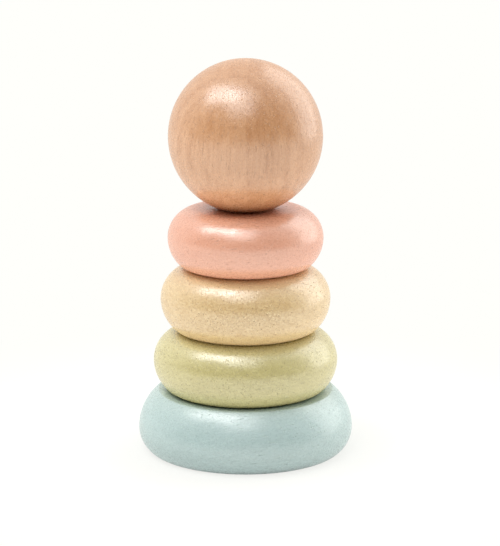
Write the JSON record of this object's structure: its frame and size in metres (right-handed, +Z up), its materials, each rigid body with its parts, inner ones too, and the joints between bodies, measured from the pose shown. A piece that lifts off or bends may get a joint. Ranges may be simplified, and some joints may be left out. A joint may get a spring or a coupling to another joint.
{
  "type": "stacking pyramid",
  "caption": "Turned wooden stacking toy: a round base with a fixed post, loose rings that shrink upwards and a ball that caps the post.",
  "frame": {"origin": "centre of the base's underside, on the surface that the toy stands on", "axes": "+Z up along the post, which all the pieces turn about; +X and +Y are free, because every piece is round"},
  "size_m": [0.088, 0.088, 0.1612],
  "materials": {
    "natural_wood": "satin varnish",
    "blue_stain": "satin varnish",
    "green_stain": "satin varnish",
    "yellow_stain": "satin varnish",
    "pink_stain": "satin varnish"
  },
  "bodies": {
    "base": {"base": "blue_stain", "post": "natural_wood"},
    "large_ring": {"large_ring": "green_stain"},
    "middle_ring": {"middle_ring": "yellow_stain"},
    "small_ring": {"small_ring": "pink_stain"},
    "ball": {"ball": "natural_wood"}
  },
  "joints": [
    {"name": "large_ring_lift", "type": "slide", "parent": "base", "child": "large_ring", "axis": [0, 0, 1], "range_m": [0, 0.1155]},
    {"name": "middle_ring_lift", "type": "slide", "parent": "large_ring", "child": "middle_ring", "axis": [0, 0, 1], "range_m": [0, 0.0905]},
    {"name": "small_ring_lift", "type": "slide", "parent": "middle_ring", "child": "small_ring", "axis": [0, 0, 1], "range_m": [0, 0.064]},
    {"name": "ball_lift", "type": "slide", "parent": "small_ring", "child": "ball", "axis": [0, 0, 1], "range_m": [0, 0.04]}
  ]
}
